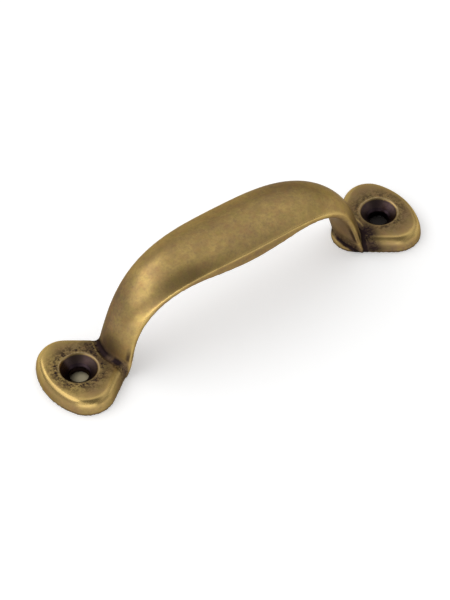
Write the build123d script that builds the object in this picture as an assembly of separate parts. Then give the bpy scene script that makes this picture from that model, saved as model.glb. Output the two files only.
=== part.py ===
from build123d import *
import os
from math import acos, asin, atan2, cos, degrees, hypot, radians, sin, sqrt, tan

# Bow handle: one brass casting, a bowed grip between two feet, each with a countersunk screw hole.
# The origin lies midway between the screw holes on the mounting face. X runs along the handle from
# hole to hole, Y across it, and +Z points away from the surface that it is screwed to. Millimetres.

# Screw holes
hole_spacing = 84.0
bore_diameter = 4.4
countersink_diameter = 9.0
countersink_angle = 90.0

# Feet: a rounded triangle in plan, whose point lies under the bow as a thin lip
foot_width = 22.2
foot_height = 3.95
foot_draft = 3.0
end_reach = 8.6
end_radius = 16.0
corner_radius = 6.4
point_reach = 12.5
point_radius = 5.6
edge_round = 2.4
lip_height = 1.4
lip_chamfer = 0.4

# Line of the bow's two long edges, seen from the side: insets run inboard from the root of an arm
bow_height = 22.8
root_inset = 8.0
arm_inset = 3.9
arm_height = 11.0
shoulder_inset = 11.1
shoulder_drop = 3.4
waist_inset = 21.5
waist_drop = 0.35

# Sections of the bow: width over the edges, rise of the outer face, thickness at the edge
# and bulge of the inner face
grip_width, grip_crown, grip_edge, grip_belly = 16.2, 2.8, 3.4, 0.6
waist_width, waist_crown, waist_edge, waist_belly = 15.4, 3.1, 2.0, 0.9
shoulder_width, shoulder_crown, shoulder_edge, shoulder_belly = 13.1, 2.8, 1.1, 1.2
arm_width, arm_crown, arm_edge, arm_belly = 11.0, 2.6, 0.9, 1.2
root_width, root_crown, root_edge, root_belly = 11.7, 1.2, 0.9, 2.0
edge_lean = 6.0


def on_circle(centre, radius, angle):
    return centre[0] + radius * cos(angle), centre[1] + radius * sin(angle)


def foot_outline():
    """Plan of a foot with its screw hole at the origin and its point towards -X."""
    end_centre = (end_reach - end_radius, 0)
    corner_y = foot_width / 2 - corner_radius
    corner = (end_centre[0] + sqrt((end_radius - corner_radius) ** 2 - corner_y ** 2), corner_y)
    point = (point_radius - point_reach, 0)
    # Directions in which the end arc meets the corner arc, and in which the straight side faces
    end_turn = asin(corner_y / (end_radius - corner_radius))
    run = (corner[0] - point[0], corner[1])
    side_turn = atan2(run[1], run[0]) + acos((point_radius - corner_radius) / hypot(*run))
    with BuildSketch() as outline:
        with BuildLine():
            CenterArc(end_centre, end_radius, 0, degrees(end_turn))
            CenterArc(corner, corner_radius, degrees(end_turn), degrees(side_turn - end_turn))
            Line(on_circle(corner, corner_radius, side_turn), on_circle(point, point_radius, side_turn))
            CenterArc(point, point_radius, degrees(side_turn), 180 - degrees(side_turn))
            mirror(about=Plane.XZ)
        make_face()
    return outline.sketch


def foot():
    """Right-hand foot with its screw hole on the Z axis: a pad outboard of the arm, a thin lip inboard."""
    outline = foot_outline()
    pad = extrude(outline, foot_height, taper=foot_draft)
    pad = fillet(pad.faces().sort_by(Axis.Z)[-1].edges(), edge_round)
    # The pad stops inside the arm's thickness
    pad = split(pad, Plane.YZ.offset(-root_inset - root_edge), keep=Keep.TOP)
    lip = extrude(outline, lip_height, taper=foot_draft)
    lip = chamfer(lip.faces().sort_by(Axis.Z)[-1].edges(), lip_chamfer)
    return pad + lip - screw_hole()


def screw_hole():
    """Bore and countersink, whose rim lies on the top of the foot."""
    bore_radius = bore_diameter / 2
    rim_radius = countersink_diameter / 2
    sink_depth = (rim_radius - bore_radius) / tan(radians(countersink_angle / 2))
    with BuildSketch(Plane.XZ) as profile:
        with BuildLine():
            Polyline(
                (0, 0),
                (bore_radius, 0),
                (bore_radius, foot_height - sink_depth),
                (rim_radius, foot_height),
                (0, foot_height),
                close=True,
            )
        make_face()
    return revolve(profile.sketch, Axis.Z)


def bow_section(plane, width, crown, edge, belly):
    """Section of the bow: crowned outside, bellied inside, with a crisp arris along each long edge."""
    half = width / 2
    inner = half - edge * tan(radians(edge_lean))
    with BuildSketch(plane) as section:
        with BuildLine():
            ThreePointArc((-half, 0), (0, crown), (half, 0))
            Line((half, 0), (inner, -edge))
            ThreePointArc((inner, -edge), (0, -edge - belly), (-inner, -edge))
            Line((-inner, -edge), (-half, 0))
        make_face()
    return section.sketch


def bow():
    """The bow from the root of one arm over the grip to the root of the other."""
    root_x = hole_spacing / 2 - root_inset
    places = [
        (root_x, 0),
        (root_x - arm_inset, arm_height),
        (root_x - shoulder_inset, bow_height - shoulder_drop),
        (root_x - waist_inset, bow_height - waist_drop),
        (0, bow_height),
    ]
    sizes = [
        (root_width, root_crown, root_edge, root_belly),
        (arm_width, arm_crown, arm_edge, arm_belly),
        (shoulder_width, shoulder_crown, shoulder_edge, shoulder_belly),
        (waist_width, waist_crown, waist_edge, waist_belly),
        (grip_width, grip_crown, grip_edge, grip_belly),
    ]
    places += [(-x, z) for x, z in reversed(places[:-1])]
    sizes += reversed(sizes[:-1])
    line = Spline(*[(x, 0, z) for x, z in places], tangents=[(0, 0, 1), (0, 0, -1)])
    sections = []
    for (x, z), size in zip(places, sizes):
        along = line.tangent_at(line.param_at_point((x, 0, z)))
        sections.append(bow_section(Plane((x, 0, z), x_dir=(0, -1, 0), z_dir=along), *size))
    return loft(sections)


def bow_handle():
    """Both halves of the handle: the right-hand one is mirrored, so the two ends match."""
    right_half = split(bow(), Plane.YZ, keep=Keep.TOP) + Pos(hole_spacing / 2, 0, 0) * foot()
    return right_half + mirror(right_half, about=Plane.YZ)


handle = bow_handle()
handle.label = "bow_handle"
os.makedirs("parts", exist_ok=True)
export_step(handle, "parts/bow_handle.step")
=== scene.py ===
# %% [markdown]
# # A cast brass bow handle in antique finish
# This lesson dresses one CAD solid for the camera. The solid comes in as a fixed frame: it has the right
# sizes, and it is what the physics uses. We lay a finer skin over it, give that skin a worn brass finish,
# and light it on a white table.

# %% Load the frame
import bmesh
import bpy
from math import cos, radians, sin
from mathutils import Matrix, Vector
from mathutils.kdtree import KDTree


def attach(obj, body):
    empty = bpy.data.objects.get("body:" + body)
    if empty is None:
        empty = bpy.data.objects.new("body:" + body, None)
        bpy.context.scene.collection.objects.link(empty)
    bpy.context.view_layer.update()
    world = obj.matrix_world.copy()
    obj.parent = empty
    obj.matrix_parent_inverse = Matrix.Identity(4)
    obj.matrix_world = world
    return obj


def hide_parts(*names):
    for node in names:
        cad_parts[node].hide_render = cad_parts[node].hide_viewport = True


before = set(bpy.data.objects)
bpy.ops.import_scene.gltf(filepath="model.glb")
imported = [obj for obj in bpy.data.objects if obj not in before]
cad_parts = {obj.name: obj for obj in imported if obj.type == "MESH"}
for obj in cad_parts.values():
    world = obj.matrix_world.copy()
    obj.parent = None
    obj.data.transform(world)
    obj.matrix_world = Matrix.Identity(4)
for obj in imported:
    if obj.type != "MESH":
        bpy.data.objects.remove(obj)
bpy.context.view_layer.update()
scene = bpy.context.scene
MM = 0.001

# %% [markdown]
# ## Camera
# A handle is small, so it is photographed from some way off with a long lens, which keeps its two ends
# nearly the same size. The two screw holes are equal circles on one level, and that fixes the whole view:
# their spacing gives the distance, and how flat their ellipses look gives the height of the camera.
# A Track To constraint could aim it. We build the three directions of the view instead, and set the
# camera's matrix in one go, because then the roll is fixed as well.

# %% Place the camera
FOOT_HEIGHT = 3.95 * MM
AZIMUTH, ELEVATION = -35.585, 46.996
DISTANCE = 643.26 * MM
LENS = 169.47
AIM_LEFT, AIM_DOWN = 1.73 * MM, 2.86 * MM


def toward(azimuth, elevation):
    """Direction seen from the handle, in degrees: azimuth 0 is in front of it and 90 to its right."""
    turned, raised = radians(azimuth), radians(elevation)
    return Vector((sin(turned) * cos(raised), -cos(turned) * cos(raised), sin(raised)))


back = toward(AZIMUTH, ELEVATION)
right = toward(AZIMUTH + 90, 0)
up = back.cross(right)
aim = Vector((0, 0, FOOT_HEIGHT)) - right * AIM_LEFT - up * AIM_DOWN
camera = bpy.data.objects.new("camera", bpy.data.cameras.new("camera"))
scene.collection.objects.link(camera)
camera.data.lens = LENS
turn = Matrix((right, up, back)).transposed().to_4x4()
camera.matrix_world = Matrix.Translation(aim + back * DISTANCE) @ turn
scene.camera = camera
print("camera at mm:", [round(v / MM) for v in camera.matrix_world.translation])

# %% [markdown]
# ## The casting's skin
# The real handle is poured in one piece. Sand casting and tumbling leave no edge quite sharp, and they fill
# every inside corner with a small cove. The CAD solid has crisp edges, and it arrives as loose triangles.
# A Bevel modifier would trip over the long slivers of such a mesh. A voxel remesh is safer: it pours an
# even skin of small quads over the merged copy, and that skin can then be smoothed, more here and less there.

# %% Pour an even skin over the solid
SKIN = 0.28 * MM
SAME_POINT = 0.002 * MM

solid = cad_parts["bow_handle"]
pattern = bmesh.new()
pattern.from_mesh(solid.data)
bmesh.ops.remove_doubles(pattern, verts=pattern.verts, dist=SAME_POINT)
mould = bpy.data.objects.new("mould", bpy.data.meshes.new("mould"))
pattern.to_mesh(mould.data)
scene.collection.objects.link(mould)
remesh = mould.modifiers.new("even skin", "REMESH")
remesh.mode = "VOXEL"
remesh.voxel_size = SKIN
poured = bpy.data.meshes.new_from_object(mould.evaluated_get(bpy.context.evaluated_depsgraph_get()))
bpy.data.objects.remove(mould)
skin = bmesh.new()
skin.from_mesh(poured)
print("skin of", len(skin.verts), "vertices and", len(skin.faces), "faces")

# %% [markdown]
# Tumbling wears the outer edges, and the mould rounds the inside corners, so each vertex of the skin needs
# to know how near it is to either. The skin can't say, because the remesh has no edges of its own. We lay
# small beads along the edges of the solid instead, put them in two search trees, and look up the nearest.

# %% Find the outer edges and the inside corners
SHARP = radians(30)
BEAD = 0.2 * MM


def beads_along(edges):
    """A search tree of beads along these edges."""
    beads = []
    for edge in edges:
        start, end = (vert.co for vert in edge.verts)
        steps = int((end - start).length / BEAD) + 1
        beads += [start.lerp(end, step / steps) for step in range(steps + 1)]
    tree = KDTree(len(beads))
    for index, bead in enumerate(beads):
        tree.insert(bead, index)
    tree.balance()
    return tree


outer_edges = beads_along(e for e in pattern.edges if e.calc_face_angle_signed() > SHARP)
inside_corners = beads_along(e for e in pattern.edges if e.calc_face_angle_signed() < -SHARP)
pattern.free()
to_edge = [outer_edges.find(vert.co)[2] for vert in skin.verts]
to_corner = [inside_corners.find(vert.co)[2] for vert in skin.verts]
print("nearest edge and corner for", len(to_edge), "vertices")

# %% [markdown]
# A worn casting has edges that are only just soft, even faces and full corners. One smoothing for all can't
# give that, so there are three: a single pass all over takes the sharpness off the edges, a longer one
# away from the edges irons out the solid's flat facets, and the longest runs only near the inside corners,
# where it draws the metal into the cove that a mould needs.

# %% Soften edges, iron the faces, fill the inside corners
EDGE_PASSES, FACE_PASSES, COVE_PASSES = 1, 24, 25
FACE_FROM_EDGE = 0.9 * MM
COVE_REACH = 1.8 * MM
COVE_FROM_EDGE = 0.7 * MM


def smooth(mesh, verts, times):
    """Moves each vertex half way to the middle of its neighbours, so many times."""
    for _ in range(times):
        bmesh.ops.smooth_vert(mesh, verts=verts, factor=0.5,
                              use_axis_x=True, use_axis_y=True, use_axis_z=True)


skin.verts.ensure_lookup_table()
smooth(skin, skin.verts, EDGE_PASSES)
faced = [v for v in skin.verts if to_edge[v.index] > FACE_FROM_EDGE]
smooth(skin, faced, FACE_PASSES)
coved = [v for v in skin.verts if to_corner[v.index] < COVE_REACH and to_edge[v.index] > COVE_FROM_EDGE]
smooth(skin, coved, COVE_PASSES)
print("smoothed", len(faced), "vertices on faces and", len(coved), "in coves")

# %% [markdown]
# A shallow groove runs along the foot of each arm, where the root was dressed after casting. It is too
# slight for the solid, and bump in a material would leave the shape as it is. So we press it into the skin:
# the top of the foot sinks a little beside the inside corner, and the outer lip of the groove stays up as a
# thin line that the buff can reach. The wheel went deeper on one side of each root than on the other.

# %% Press in the groove along each root
GROOVE_DEPTH = 0.3 * MM
GROOVE_WIDTH = 1.0 * MM
GROOVE_LIP = 0.5 * MM
GROOVE_LOWEST = 2.5 * MM
STEEP, LEVEL = 0.35, 0.7
GROOVE_FULL, GROOVE_END = 3.4 * MM, 5.0 * MM
LESSER_DEPTH = 0.6
LESSER_SIDE = 70 * MM * MM


def fade(value, start, end):
    """One up to start, nothing from end on, and a smooth slope between them."""
    t = min(max((end - value) / (end - start), 0), 1)
    return t * t * (3 - 2 * t)


skin.normal_update()
pressed = [v for v in skin.verts if to_corner[v.index] < GROOVE_WIDTH + GROOVE_LIP
           and v.normal.z > STEEP and v.co.z > GROOVE_LOWEST]
drops = [GROOVE_DEPTH * fade(to_corner[v.index], GROOVE_WIDTH, GROOVE_WIDTH + GROOVE_LIP)
         * (1 - fade(v.normal.z, STEEP, LEVEL)) * fade(abs(v.co.y), GROOVE_FULL, GROOVE_END)
         * (LESSER_DEPTH + (1 - LESSER_DEPTH) * fade(v.co.x * v.co.y, 0.0, LESSER_SIDE)) for v in pressed]
for vert, drop in zip(pressed, drops):
    vert.co.z -= drop
smooth(skin, pressed, EDGE_PASSES)
print("groove pressed into", len(pressed), "vertices, up to", round(max(drops) / MM, 2), "mm deep")

# %% [markdown]
# The flat top of each foot was ground after casting, and the grinding left a brow where the flat meets the
# rounded edge. A bevel needs an edge to cut, and the skin has none there. So we lift the upper part of the
# round a little: the flat then runs further out and ends in a line. The hole and the arm stay as they are.

# %% Raise the brow round each foot's flat top
HOLE_SPACING = 84.0 * MM
BROW_LIFT = 0.14 * MM
BROW_LEVEL = 3.66 * MM
BROW_FOOT = 2.6 * MM
BROW_STEEPEST = 0.3
BROW_FROM_AXIS = 5.2 * MM
BROW_INNERMOST = HOLE_SPACING / 2 - 7.5 * MM
ROOT_NEAR, ROOT_CLEAR = 1.0 * MM, 2.5 * MM

lifted = 0
for vert in skin.verts:
    to_axis = Vector((abs(vert.co.x) - HOLE_SPACING / 2, vert.co.y)).length
    on_round = BROW_FOOT < vert.co.z < FOOT_HEIGHT and vert.normal.z >= BROW_STEEPEST
    if not on_round or to_axis < BROW_FROM_AXIS or abs(vert.co.x) < BROW_INNERMOST:
        continue
    lift = fade(vert.co.z, BROW_LEVEL, FOOT_HEIGHT) * (1 - fade(vert.co.z, BROW_FOOT, BROW_LEVEL))
    vert.co.z += BROW_LIFT * lift * (1 - fade(to_corner[vert.index], ROOT_NEAR, ROOT_CLEAR))
    lifted += 1
print("brow raised on", lifted, "vertices")

# %% [markdown]
# Patina lives in the hollows and wears off the ridges, so the finish has to know which is which. Pointiness
# looks only at the next vertices, which is too near on a skin as fine as this. So we smooth a copy of the
# skin far too much, and note for each vertex how deep it lies below that blurred form: more than nothing in
# a hollow, less than nothing on a ridge. The mesh keeps this and the two distances, in millimetres.

# %% Measure hollows and ridges
BLUR_PASSES = 60

blurred = skin.copy()
smooth(blurred, blurred.verts, BLUR_PASSES)
blurred.verts.ensure_lookup_table()
skin.normal_update()
relief = [(blurred.verts[v.index].co - v.co).dot(v.normal) / MM for v in skin.verts]
blurred.free()
for face in skin.faces:
    face.smooth = True
skin.to_mesh(poured)
skin.free()
for name, values in (
    ("relief_mm", relief),
    ("corner_mm", [gap / MM for gap in to_corner]),
    ("edge_mm", [gap / MM for gap in to_edge]),
):
    poured.attributes.new(name, "FLOAT", "POINT").data.foreach_set("value", values)
    print(name, "from", round(min(values), 2), "to", round(max(values), 2))

# %% [markdown]
# The skin is the casting that the camera sees. The solid could stay below it, but the two would show through
# each other, so the skin stands in for the solid, which is hidden and still does its work in the physics. The
# new object sits at the origin with its place in its mesh, so a pattern on it stays where it belongs.

# %% Stand the skin in for the solid
poured.name = "casting"
casting = bpy.data.objects.new("casting", poured)
scene.collection.objects.link(casting)
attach(casting, "root")
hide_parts("bow_handle")
print("casting of", len(poured.polygons), "faces stands in for bow_handle")

# %% [markdown]
# ## Antique brass
# The foundry dips the clean brass in a bath that turns it nearly black, rubs the high places back with a
# greasy buff, and lacquers the result. The eye gets three metals: bright yellow on ridges, dull olive brown
# on broad faces, and near black where no buff could reach. A painted texture could show that, but it needs
# an unwrapped mesh. Nodes can work it out instead, from what each point of the metal is and where it lies.
# It takes some two hundred, so one small helper adds each of them, sets it and links it in one go. Some
# of them paint light and shade into the colour as well: highlights on the feet, the left arm and the grip,
# and shade in the screw holes, beside the roots and towards the right end.

# %% Start the brass


def add(tree, kind, inputs=None, **settings):
    """Adds a node: settings are its properties, inputs are values or sockets to link from."""
    made = tree.nodes.new(kind)
    for name, value in settings.items():
        setattr(made, name, value)
    for socket, value in (inputs or {}).items():
        if isinstance(value, bpy.types.NodeSocket):
            tree.links.new(value, made.inputs[socket])
        else:
            made.inputs[socket].default_value = value
    return made


brass = bpy.data.materials.new("antique_brass_rubbed_back_and_painted_light")
brass.use_nodes = True
tree = brass.node_tree
tree.nodes.clear()
casting.data.materials.clear()
casting.data.materials.append(brass)
print("casting wears", casting.data.materials[0].name)

# %% [markdown]
# A finish can only follow measures that it can read. The mesh gives the depth of hollows and the distance to
# corners and edges, in millimetres. Object coordinates give the place, in metres. The two ends are alike, so
# one is folded onto the other and measured from the screw's axis. A second texture space for each end would
# do as well, but folding keeps both in one. The handle was turned round between dressing one root and the
# other, so across times along tells the side that the wheel reached, at either end: that is the twist.

# %% Read where each point lies
TWIST_ARM = 36 * MM

coords = add(tree, "ShaderNodeTexCoord").outputs
place = coords["Object"]
hollow, corner, edge = (add(tree, "ShaderNodeAttribute", attribute_name=name).outputs["Fac"]
                        for name in ("relief_mm", "corner_mm", "edge_mm"))
across, along, _ = add(tree, "ShaderNodeSeparateXYZ", {0: place}).outputs
folded = add(tree, "ShaderNodeVectorMath", {0: place}, operation="ABSOLUTE").outputs[0]
outboard, _, height = add(tree, "ShaderNodeSeparateXYZ", {0: folded}).outputs
flattened = add(tree, "ShaderNodeVectorMath", {0: folded, 1: (1, 1, 0)}, operation="MULTIPLY").outputs[0]
from_axis = add(tree, "ShaderNodeVectorMath", {0: flattened, 1: (HOLE_SPACING / 2, 0, 0)},
                operation="DISTANCE").outputs["Value"]
upward = add(tree, "ShaderNodeSeparateXYZ", {0: coords["Normal"]}).outputs["Z"]
# The twist also places the painted shade beside the roots.
twist = add(tree, "ShaderNodeMath", {0: across, 1: along}, operation="MULTIPLY").outputs[0]
twist = add(tree, "ShaderNodeMath", {0: twist, 1: TWIST_ARM}, operation="DIVIDE").outputs[0]
print("measures read by", len(tree.nodes), "nodes")

# %% [markdown]
# Nothing that was cast in sand and rubbed by hand is even. Four noises carry the unevenness, each at a size
# taken from the real thing: patches that the buff skipped, casting grain, long strokes, and runs of the
# bath. An image of real patina would tile, and noise doesn't. Casting grain is nearer 0.2 mm, which is too
# fine to show in the render, so the specks are drawn three times as coarse.

# %% Make the metal uneven at four sizes
noise = {}
for name, size, detail, roughness in (
    ("mottle", 1.8 * MM, 5.0, 0.65),
    ("specks", 0.6 * MM, 3.0, 0.7),
    ("clouds", 9 * MM, 2.0, 0.5),
    ("blots", 5 * MM, 1.0, 0.5),
):
    noise[name] = add(tree, "ShaderNodeTexNoise", {"Vector": place, "Scale": 1 / size, "Detail": detail,
                                                   "Roughness": roughness}).outputs
    print(name, "about", round(size / MM, 1), "mm across")
mottle, specks, clouds, blots = (made["Fac"] for made in noise.values())
_, rosy, olive = add(tree, "ShaderNodeSeparateColor", {0: noise["mottle"]["Color"]}).outputs

# %% [markdown]
# A buff is soft and wide. It reaches ridges and tops first, walls and roots last. We add that up in one
# number, the reach, and the same number carries painted light and shade: the right end is painted darker than
# the left, the flat of the left foot's tip gets a painted highlight, and the left arm and the grip get
# painted highlights on their near halves and painted shade on their far halves. Each row below is a gain or a
# loss: a
# Map Range reads one measure, and gives one value at its start and another at its end. Where a row has more
# than one Map Range, they are multiplied, so the gain holds only where all of them agree.

# %% Work out how far the buff got, with painted light and shade in the same number
EVEN_RUB = 0.065
UNTOUCHED, RUBBED_BACK = 0.10, 0.92

reach_and_painted_light = EVEN_RUB
for reading, weight in ((mottle, 0.62), (specks, 0.85), (clouds, 0.25), (hollow, -1.3)):
    reach_and_painted_light = add(tree, "ShaderNodeMath", {0: reading, 1: weight, 2: reach_and_painted_light},
                operation="MULTIPLY_ADD").outputs[0]
for ranges in (
    # walls less than tops, the skirt least, roots less than ends, and the right end darker than the left as
    # painted shade
    [(upward, -0.2, 0.85, -0.64, -0.38)],
    [(height, 0.5 * MM, 3.2 * MM, -0.14, 0.0)],
    [(corner, 1.0, 12.0, -0.1, 0.0)],
    [(across, -45 * MM, 45 * MM, 0.04, -0.08)],
    # a painted highlight on the flat of the left foot's tip
    [(across, -43 * MM, -48 * MM, 0.0, 0.5), (upward, 0.85, 0.98, 0.0, 1.0)],
    # a painted highlight on the near half of the left arm, and painted shade on the far half
    [(along, -4 * MM, 4 * MM, 0.16, -0.55), (across, -24 * MM, -29 * MM, 0.0, 1.0),
     (height, 3.8 * MM, 6 * MM, 0.0, 1.0)],
    # and the same painted highlight and shade on the right of the grip
    [(along, -6 * MM, 6 * MM, 0.2, -0.4), (across, 6 * MM, 16 * MM, 0.0, 1.0),
     (height, 15 * MM, 20 * MM, 0.0, 1.0)],
):
    gain = 1.0
    for reading, start, end, at_start, at_end in ranges:
        held = add(tree, "ShaderNodeMapRange", {"Value": reading, "From Min": start, "From Max": end,
                                                "To Min": at_start, "To Max": at_end}).outputs[0]
        gain = add(tree, "ShaderNodeMath", {0: held, 1: gain}, operation="MULTIPLY").outputs[0]
    reach_and_painted_light = add(tree, "ShaderNodeMath", {0: reach_and_painted_light, 1: gain}, operation="ADD").outputs[0]
rubbed_and_painted_light = add(tree, "ShaderNodeMapRange", {"Value": reach_and_painted_light, "From Min": UNTOUCHED,
                                          "From Max": RUBBED_BACK}).outputs[0]
print("reach of the buff from", len(tree.nodes), "nodes so far")

# %% [markdown]
# Along some lines the buff cut through to bright metal: the arrises of the bow, the rounded rim and the
# ground brow of each foot, the rim of the countersink and the lip of the groove. On the rim and brow of each
# foot and on the lip, the bright colour is also a painted highlight, laid where the highlight runs. Marked
# edges could carry these, but most of the lines lie on rounds. So we name zones first: each is a share, from
# none to all, that one Map Range makes of one measure.

# %% Name the zones of the bare lines
LIP_FROM_CORNER, LIP_HALF_WIDTH = 1.6, 0.2

gap = {}
for name, reading, middle in (
    ("rim", height, 3.3 * MM), ("brow", height, 3.76 * MM), ("pocket", twist, 3.4 * MM),
):
    gap[name] = add(tree, "ShaderNodeMath", {0: reading, 1: middle}, operation="SUBTRACT").outputs[0]
    gap[name] = add(tree, "ShaderNodeMath", {0: gap[name]}, operation="ABSOLUTE").outputs[0]
zone = {"lip": add(tree, "ShaderNodeMath", {0: corner, 1: LIP_FROM_CORNER, 2: LIP_HALF_WIDTH},
                   operation="COMPARE").outputs[0]}
for name, reading, start, end, at_start, at_end in (
    ("ridge", hollow, -0.12, -0.34, 0.0, 0.9),
    ("open_up", upward, 0.0, 0.5, 0.0, 1.0),
    ("off_table", height, 1.2 * MM, 2.4 * MM, 0.35, 1.0),
    ("on_edge", edge, 0.3, 0.1, 0.0, 1.0),
    ("clear_of_hole", from_axis, 5.0 * MM, 5.6 * MM, 0.0, 1.0),
    ("clear_of_root", corner, 0.6, 1.4, 0.0, 1.0),
    ("rim", gap["rim"], 0.45 * MM, 0.1 * MM, 0.0, 0.6),
    ("brow", gap["brow"], 0.10 * MM, 0.04 * MM, 0.0, 0.5),
    ("in_front", along, -3 * MM, -6 * MM, 0.0, 1.0),
    ("flat_top", height, 3.55 * MM, 3.8 * MM, 0.0, 0.75),
    ("below_arm", height, 5.4 * MM, 4.4 * MM, 0.1, 1.0),
    ("undressed", twist, 2.4 * MM, 0.4 * MM, 0.35, 1.0),
):
    zone[name] = add(tree, "ShaderNodeMapRange", {"Value": reading, "From Min": start, "From Max": end,
                                                  "To Min": at_start, "To Max": at_end}).outputs[0]
print("zones:", ", ".join(zone))

# %% [markdown]
# A bright line shows where all of its zones agree, so its zones are multiplied. Lines meet and cross on the
# feet. If they were added up, two faint ones would make a bright spot there, and metal can't be more than
# bare. So at each point the strongest line wins, and that is what Maximum gives.

# %% Lay bare the ridges, the rims and the lip of the groove, with painted highlights
bare_and_painted_highlight = 0.0
for names in (
    ("ridge", "open_up", "off_table", "on_edge"),
    ("ridge", "open_up", "off_table", "clear_of_hole"),
    # painted highlight along each foot's rounded rim, over worn metal
    ("rim", "clear_of_hole", "clear_of_root", "open_up"),
    # painted highlight on the brow, front side only, over worn metal
    ("brow", "in_front", "clear_of_hole", "clear_of_root"),
    # painted highlight on the lip of the groove, over worn metal
    ("lip", "flat_top", "below_arm", "undressed"),
):
    line = 1.0
    for name in names:
        line = add(tree, "ShaderNodeMath", {0: zone[name], 1: line}, operation="MULTIPLY").outputs[0]
    bare_and_painted_highlight = add(tree, "ShaderNodeMath", {0: bare_and_painted_highlight, 1: line}, operation="MAXIMUM").outputs[0]
    print("bare:", " and ".join(names))

# %% [markdown]
# The bath leaves a film of soot that the buff can't wipe from every corner. It lies round each screw hole,
# along each root, and as a line just inside the edges of each arm. It thins outwards and shows the casting
# grain. On the foot beside the undressed part of a root there is painted shade as well, softer, and grainy
# like the soot. Ambient Occlusion would darken roots and holes alike. Zones are better here too, because each
# kind of soot and shade can then be as strong as it is on the metal.

# %% Name the zones of the soot and of the painted shade
GRAIN_MOTTLE, GRAIN_SPECKS = 0.65, 1.35

grain = add(tree, "ShaderNodeMath", {0: mottle, 1: GRAIN_MOTTLE}, operation="MULTIPLY").outputs[0]
grain = add(tree, "ShaderNodeMath", {0: specks, 1: GRAIN_SPECKS, 2: grain},
            operation="MULTIPLY_ADD").outputs[0]
zone["patchy"] = add(tree, "ShaderNodeMapRange", {"Value": grain, "From Min": 0.78, "From Max": 1.2,
                                                  "To Min": 0.26, "To Max": 1.15},
                     interpolation_type="SMOOTHSTEP").outputs[0]
# painted shade beside each root, strongest near the corner
zone["root_shade"] = add(tree, "ShaderNodeMapRange", {"Value": corner, "From Min": 6.5, "From Max": 2.0},
                         interpolation_type="SMOOTHSTEP").outputs[0]
for name, reading, start, end, at_start, at_end in (
    ("round_hole", from_axis, 4.5 * MM, 9.2 * MM, 1.0, 0.0),
    ("along_root", corner, 0.0, 9.0, 1.0, 0.0),
    ("on_foot", height, 5.2 * MM, 4.2 * MM, 0.15, 1.0),
    ("heavy", twist, 2.0 * MM, -5 * MM, 0.75, 1.1),
    ("kept", hollow, -0.08, -0.25, 1.0, 0.15),
    ("half_kept", hollow, -0.1, -0.3, 1.0, 0.6),
    ("left_heavier", across, -1 * MM, 1 * MM, 1.1, 0.9),
    ("left_shade", twist, 5 * MM, 2 * MM, 0.15, 0.72),
    ("right_shade", twist, 2 * MM, -3 * MM, 0.25, 1.0),
    ("outboard", outboard, 33 * MM, 34.5 * MM, 0.0, 1.0),
    ("grainy", zone["patchy"], 0.0, 1.0, 0.7, 1.1),
    ("inner_face", upward, 0.05, -0.1, 0.0, 1.0),
    ("low_down", height, 9 * MM, 6 * MM, 0.0, 0.95),
    ("off_edge", edge, 0.1, 0.35, 0.0, 0.85),
    ("near_edge", edge, 1.45, 0.8, 0.0, 1.0),
    ("lower_arm", height, 12 * MM, 8 * MM, 0.0, 1.0),
    ("above_foot", height, 3.8 * MM, 5 * MM, 0.0, 1.0),
    ("undrilled", from_axis, 4.3 * MM, 4.6 * MM, 0.0, 1.0),
):
    zone[name] = add(tree, "ShaderNodeMapRange", {"Value": reading, "From Min": start, "From Max": end,
                                                  "To Min": at_start, "To Max": at_end}).outputs[0]
right_half = add(tree, "ShaderNodeMath", {0: across, 1: 0.0}, operation="GREATER_THAN").outputs[0]
zone["beside"] = add(tree, "ShaderNodeMix", {0: right_half, 2: zone["left_shade"],
                                             3: zone["right_shade"]}).outputs[0]
print(len(zone), "zones so far")

# %% [markdown]
# Each row below is one kind of soot: round the holes, along the roots, up the inner faces of the arms, and
# low down on all sides of them. The row beside the roots is painted shade. They overlap at the roots, and
# there too the strongest wins. The drilled holes are smooth and hold none of it, so every row ends with that.

# %% Leave soot round the holes and along the roots, and painted shade beside the roots
dark = 0.0
for names in (
    ("round_hole", "kept", "patchy", "left_heavier", "undrilled"),
    ("along_root", "on_foot", "heavy", "kept", "patchy", "left_heavier", "undrilled"),
    # painted shade on the foot beside the root, grainy like the soot
    ("root_shade", "beside", "outboard", "below_arm", "half_kept", "grainy", "undrilled"),
    ("inner_face", "off_edge", "near_edge", "lower_arm", "above_foot", "undrilled"),
    ("low_down", "off_edge", "near_edge", "lower_arm", "above_foot", "undrilled"),
):
    soot_and_painted_shade = 1.0
    for name in names:
        soot_and_painted_shade = add(tree, "ShaderNodeMath", {0: zone[name], 1: soot_and_painted_shade}, operation="MULTIPLY").outputs[0]
    dark = add(tree, "ShaderNodeMath", {0: dark, 1: soot_and_painted_shade}, operation="MAXIMUM").outputs[0]
    print("soot:", " and ".join(names))

# %% [markdown]
# The bath itself stays where nothing rubs: in the inside corners and in pinholes of the casting. In the
# corners it ends in a ragged line, wider outboard than under the bow, which the distance to the corner gives
# once noise is taken from it. The dressing wheel came in from one side, so the stain fades along each root,
# but for one pocket that it missed. The countersinks and bores are darkened almost to black as painted shade,
# and the lowest millimetre of each foot, next to the table, is darker as well.

# %% Leave the stain in the corners, and paint shade into the holes
RAGGED_MOTTLE, RAGGED_BLOTS = -1.4, -2.2

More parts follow.
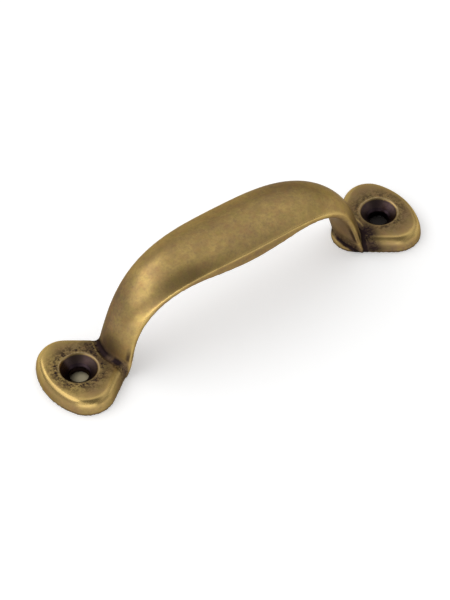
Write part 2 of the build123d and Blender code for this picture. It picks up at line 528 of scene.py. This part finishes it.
width = add(tree, "ShaderNodeMapRange", {"Value": outboard, "From Min": 32.5 * MM, "From Max": 34.5 * MM,
                                         "To Min": 0.7, "To Max": 1.2}).outputs[0]
ragged = add(tree, "ShaderNodeMath", {0: corner, 1: width}, operation="DIVIDE").outputs[0]
for reading, weight in ((mottle, RAGGED_MOTTLE), (blots, RAGGED_BLOTS)):
    ragged = add(tree, "ShaderNodeMath", {0: reading, 1: weight, 2: ragged},
                 operation="MULTIPLY_ADD").outputs[0]
zone["in_corner"] = add(tree, "ShaderNodeMapRange", {"Value": ragged, "From Min": -0.55, "From Max": -1.35},
                        interpolation_type="SMOOTHSTEP").outputs[0]
for name, reading, start, end, at_start, at_end in (
    ("pocket", gap["pocket"], 1.6 * MM, 0.7 * MM, 0.0, 1.0),
    # painted shade in the countersink and in the bore
    ("painted_sink_shade", from_axis, 4.35 * MM, 4.1 * MM, 0.0, 0.88),
    ("painted_bore_shade", from_axis, 3.6 * MM, 2.8 * MM, 0.0, 0.95),
    ("pinholes", specks, 0.64, 0.76, 0.0, 0.45),
    # the lowest millimetre of each foot is darker
    ("skirt", height, 0.9 * MM, 0.2 * MM, 0.0, 0.6),
):
    zone[name] = add(tree, "ShaderNodeMapRange", {"Value": reading, "From Min": start, "From Max": end,
                                                  "To Min": at_start, "To Max": at_end}).outputs[0]
for names in (
    ("in_corner", "below_arm", "undressed"),
    ("in_corner", "below_arm", "pocket"),
    ("painted_sink_shade",),
    ("painted_bore_shade",),
    ("pinholes", "undrilled"),
    ("skirt",),
):
    stain_and_painted_shade = 1.0
    for name in names:
        stain_and_painted_shade = add(tree, "ShaderNodeMath", {0: zone[name], 1: stain_and_painted_shade}, operation="MULTIPLY").outputs[0]
    dark = add(tree, "ShaderNodeMath", {0: dark, 1: stain_and_painted_shade}, operation="MAXIMUM").outputs[0]
    print("stain:", " and ".join(names))

# %% [markdown]
# Now the shares become colours. The film on the metal is brown, rubbed brass is yellow, and between them the
# faces blush here and there to rose and olive. Part of the yellow is painted highlight, and part of the near
# black is painted shade. A Color Ramp would give one order of colours along one number. We glaze instead, as
# a
# painter does: each row lays its colour over what is there, as much as its share says. The order counts, so
# bright lines and painted highlights go over the faces, and the stain, soot and painted shade go over
# everything.

# %% Glaze the colours one over another


def linear(code):
    """sRGB hex to the linear colour that shaders work in."""
    parts = [int(code[i:i + 2], 16) / 255 for i in (1, 3, 5)]
    return [p / 12.92 if p <= 0.04045 else ((p + 0.055) / 1.055) ** 2.4 for p in parts] + [1.0]


for name, reading, start, end, most in (
    ("blush", blots, 0.45, 0.75, 0.45),
    ("rosy", rosy, 0.45, 0.7, 0.4),
    ("olive", olive, 0.45, 0.7, 0.4),
    ("inner_dull", upward, -0.08, -0.3, 0.7),
):
    zone[name] = add(tree, "ShaderNodeMapRange", {"Value": reading, "From Min": start, "From Max": end,
                                                  "To Max": most}).outputs[0]
# A drilled rim is paler than worn ridges and painted highlights; painted shade in a drilled hole is more
# violet
bright = add(tree, "ShaderNodeMix", {0: zone["clear_of_hole"], 6: linear("#bfae98"), 7: linear("#d0b270")},
             data_type="RGBA").outputs[2]
black = add(tree, "ShaderNodeMix", {0: zone["undrilled"], 6: linear("#302530"), 7: linear("#2c2122")},
            data_type="RGBA").outputs[2]
colour = linear("#76624e")
glazes = (
    (rubbed_and_painted_light, linear("#bb9f60")),
    (zone["blush"], linear("#85694f")),
    (zone["rosy"], linear("#a0774f")),
    (zone["olive"], linear("#97884a")),
    (zone["inner_dull"], linear("#7f6853")),
    (bare_and_painted_highlight, bright),
    (dark, black),
)
for share, glaze in glazes:
    colour = add(tree, "ShaderNodeMix", {0: share, 6: colour, 7: glaze}, data_type="RGBA").outputs[2]
print(len(glazes), "glazes over the film's brown")

# %% [markdown]
# Rubbed metal shines more than the film on it, the roots are matt, and drilled holes and bare lines are the
# brightest. Clear lacquer lies over all of it, but so thin that a coat of its own would not show. So one
# metal shader takes it all: the roughness follows the wear, a fine bump gives the casting's pores, and a
# warm tint keeps the reflections at the edges from going white. The IOR of the metal stays as it is.

# %% Set the gloss and the pores
BARE_SMOOTHER = -0.14
PORE_DEPTH, PORE_STRENGTH = 0.02 * MM, 0.5

matt = 0.0
for reading, start, end, at_start, at_end in (
    (rubbed_and_painted_light, 0.0, 1.0, 0.46, 0.30),
    (corner, 8.0, 1.5, 0.0, 0.14),
    (from_axis, 4.2 * MM, 4.6 * MM, -0.1, 0.0),
):
    change = add(tree, "ShaderNodeMapRange", {"Value": reading, "From Min": start, "From Max": end,
                                              "To Min": at_start, "To Max": at_end}).outputs[0]
    matt = add(tree, "ShaderNodeMath", {0: matt, 1: change}, operation="ADD").outputs[0]
matt = add(tree, "ShaderNodeMath", {0: bare_and_painted_highlight, 1: BARE_SMOOTHER, 2: matt}, operation="MULTIPLY_ADD").outputs[0]
pores = add(tree, "ShaderNodeBump", {"Height": specks, "Distance": PORE_DEPTH,
                                     "Strength": PORE_STRENGTH}).outputs[0]
shader = add(tree, "ShaderNodeBsdfPrincipled", {"Base Color": colour, "Metallic": 1.0, "Roughness": matt,
                                                "Specular Tint": linear("#c9c0ac"), "Normal": pores})
add(tree, "ShaderNodeOutputMaterial", {"Surface": shader.outputs[0]})
print("brass with", len(tree.nodes), "nodes")

# %% [markdown]
# ## Table
# The handle lies on a sheet of white paper with nothing else on it. A curved backdrop would do from one side.
# But the handle is looked at from all round, and a sheet that ends shows its edge from low down, so this
# one is flat and reaches twelve metres to each side.

# %% Lay a white table
TABLE_REACH = 12

laid = bmesh.new()
bmesh.ops.create_grid(laid, x_segments=1, y_segments=1, size=TABLE_REACH)
sheet = bpy.data.meshes.new("table")
laid.to_mesh(sheet)
laid.free()
table = bpy.data.objects.new("table", sheet)
scene.collection.objects.link(table)
print("table reaches", TABLE_REACH, "m to each side")

# %% [markdown]
# Matt paper gives the eye an even white with no shine, and a soft shadow. More light on it would bleach the
# brass, so the paper glows a little instead, for the camera and for what the metal mirrors. Through the bores
# a round of it can be seen that lies in deep shade, with a gleam of light in the left one. White paper would
# shine out of them, so that shade is painted into the paper's colour under the bores, with a painted gleam
# under the left one, and the glow is left off there.

# %% White paper, matt, with painted shade under the bores
PAPER_GLOW = 0.3
BORE_SHADE, BORE_CLEAR = 2.3 * MM, 3.0 * MM
GLEAM_OFF_AXIS = 0.8 * MM
GLEAM_END, GLEAM_FULL = 3.2 * MM, 0.8 * MM

paper = bpy.data.materials.new("white_paper_matt_with_painted_bore_shade")
paper.use_nodes = True
tree = paper.node_tree
tree.nodes.clear()
ray = add(tree, "ShaderNodeLightPath").outputs
seen = ray["Is Camera Ray"]
for also in ("Is Glossy Ray", "Is Transmission Ray"):
    seen = add(tree, "ShaderNodeMath", {0: seen, 1: ray[also]}, operation="ADD").outputs[0]
spot = add(tree, "ShaderNodeTexCoord").outputs["Object"]
either_end = add(tree, "ShaderNodeVectorMath", {0: spot}, operation="ABSOLUTE").outputs[0]
from_bore = add(tree, "ShaderNodeVectorMath", {0: either_end, 1: (HOLE_SPACING / 2, 0, 0)},
                operation="DISTANCE").outputs["Value"]
lit = add(tree, "ShaderNodeMapRange", {"Value": from_bore, "From Min": BORE_SHADE,
                                       "From Max": BORE_CLEAR}).outputs[0]
glow = add(tree, "ShaderNodeMath", {0: seen, 1: lit}, operation="MULTIPLY").outputs[0]
glow = add(tree, "ShaderNodeMath", {0: glow, 1: PAPER_GLOW}, operation="MULTIPLY").outputs[0]
from_gleam = add(tree, "ShaderNodeVectorMath", {0: spot, 1: (GLEAM_OFF_AXIS - HOLE_SPACING / 2, 0, 0)},
                 operation="DISTANCE").outputs["Value"]
gleam = add(tree, "ShaderNodeMapRange", {"Value": from_gleam, "From Min": GLEAM_END,
                                         "From Max": GLEAM_FULL}).outputs[0]
# painted shade under each bore, with a painted gleam under the left one
bore_shade_and_gleam = add(tree, "ShaderNodeMix", {0: gleam, 6: linear("#1c1614"), 7: linear("#aca284")},
                 data_type="RGBA").outputs[2]
white = add(tree, "ShaderNodeMix", {0: lit, 6: bore_shade_and_gleam, 7: linear("#f0f0f0")}, data_type="RGBA").outputs[2]
shader = add(tree, "ShaderNodeBsdfPrincipled", {"Base Color": white, "Roughness": 0.9,
                                                "Emission Color": linear("#ffffff"),
                                                "Emission Strength": glow})
add(tree, "ShaderNodeOutputMaterial", {"Surface": shader.outputs[0]})
table.data.materials.append(paper)
print("paper with", len(tree.nodes), "nodes")

# %% [markdown]
# ## Light
# Metal mirrors the whole room, so the room matters more than the lamps. Shiny things are photographed in a
# tent of white cloth, and the world can be that tent: bright overhead, darker towards the horizon, with a
# dark opening in front, whose reflection gives the crown of the bow its shape. A picture of a studio could
# light the scene too, but a few nodes are easier to aim.

# %% Put up a light tent
TENT_HORIZON, TENT_TOP, TENT_OPENING = 0.4, 1.0, 0.25
TENT_STRENGTH = 0.95
TENT_FULL_HEIGHT = 0.9
OPENING_AZIMUTH, OPENING_ELEVATION = -14, 48
OPENING_EDGE, OPENING_HEART = 46, 14

world = bpy.data.worlds.new("studio")
world.use_nodes = True
scene.world = world
tree = world.node_tree
tree.nodes.clear()
direction = add(tree, "ShaderNodeTexCoord").outputs["Generated"]
steep = add(tree, "ShaderNodeSeparateXYZ", {0: direction}).outputs["Z"]
rise = add(tree, "ShaderNodeMapRange", {"Value": steep, "From Min": 0.0, "From Max": TENT_FULL_HEIGHT},
           interpolation_type="SMOOTHSTEP").outputs[0]
facing = add(tree, "ShaderNodeVectorMath", {0: direction, 1: toward(OPENING_AZIMUTH, OPENING_ELEVATION)},
             operation="DOT_PRODUCT").outputs["Value"]
opening = add(tree, "ShaderNodeMapRange", {"Value": facing, "From Min": cos(radians(OPENING_EDGE)),
                                           "From Max": cos(radians(OPENING_HEART))},
              interpolation_type="SMOOTHSTEP").outputs[0]
tent = [TENT_HORIZON] * 3 + [1]
for share, grey in ((rise, TENT_TOP), (opening, TENT_OPENING)):
    tent = add(tree, "ShaderNodeMix", {0: share, 6: tent, 7: [grey] * 3 + [1]}, data_type="RGBA").outputs[2]
cloth = add(tree, "ShaderNodeBackground", {"Color": tent, "Strength": TENT_STRENGTH})
add(tree, "ShaderNodeOutputWorld", {"Surface": cloth.outputs[0]})
print("tent with", len(tree.nodes), "nodes")

# %% [markdown]
# Soft boxes draw the long highlights: the big one behind the left shoulder runs along the bow, the low one in
# front lights the rims of the feet, and four weak ones open up the other sides. Point lamps would give hard
# glints. Area lamps are mirrored as broad shapes, which is what the worn metal shows.

# %% Set six soft boxes round the handle
BOX_DISTANCE = 0.9

for name, azimuth, elevation, wide, tall, watts in (
    ("soft_box_left", -122, 42, 1.35, 0.55, 2.9),
    ("soft_box_front", -38, 8, 1.2, 0.25, 2.1),
    ("soft_box_front_high", -48, 29, 0.6, 0.3, 0.24),
    ("soft_box_back", 178, 7, 0.8, 0.3, 0.35),
    ("soft_box_right", 78, 6, 0.7, 0.3, 0.3),
    ("soft_box_top", 92, 68, 0.7, 0.4, 0.06),
):
    lamp = bpy.data.objects.new(name, bpy.data.lights.new(name, "AREA"))
    lamp.data.shape = "RECTANGLE"
    lamp.data.size, lamp.data.size_y = wide, tall
    lamp.data.energy = watts
    lamp.location = toward(azimuth, elevation) * BOX_DISTANCE
    lamp.rotation_euler = lamp.location.to_track_quat("Z", "Y").to_euler()
    scene.collection.objects.link(lamp)
    print(name, watts, "W")

# %% [markdown]
# ## Colour view
# The dressed handle has to be as large as the solid. The Standard view shows a colour about as it is written,
# where a filmic one would wash it out.

# %% Show colours as they are written
scene.view_settings.view_transform = "Standard"
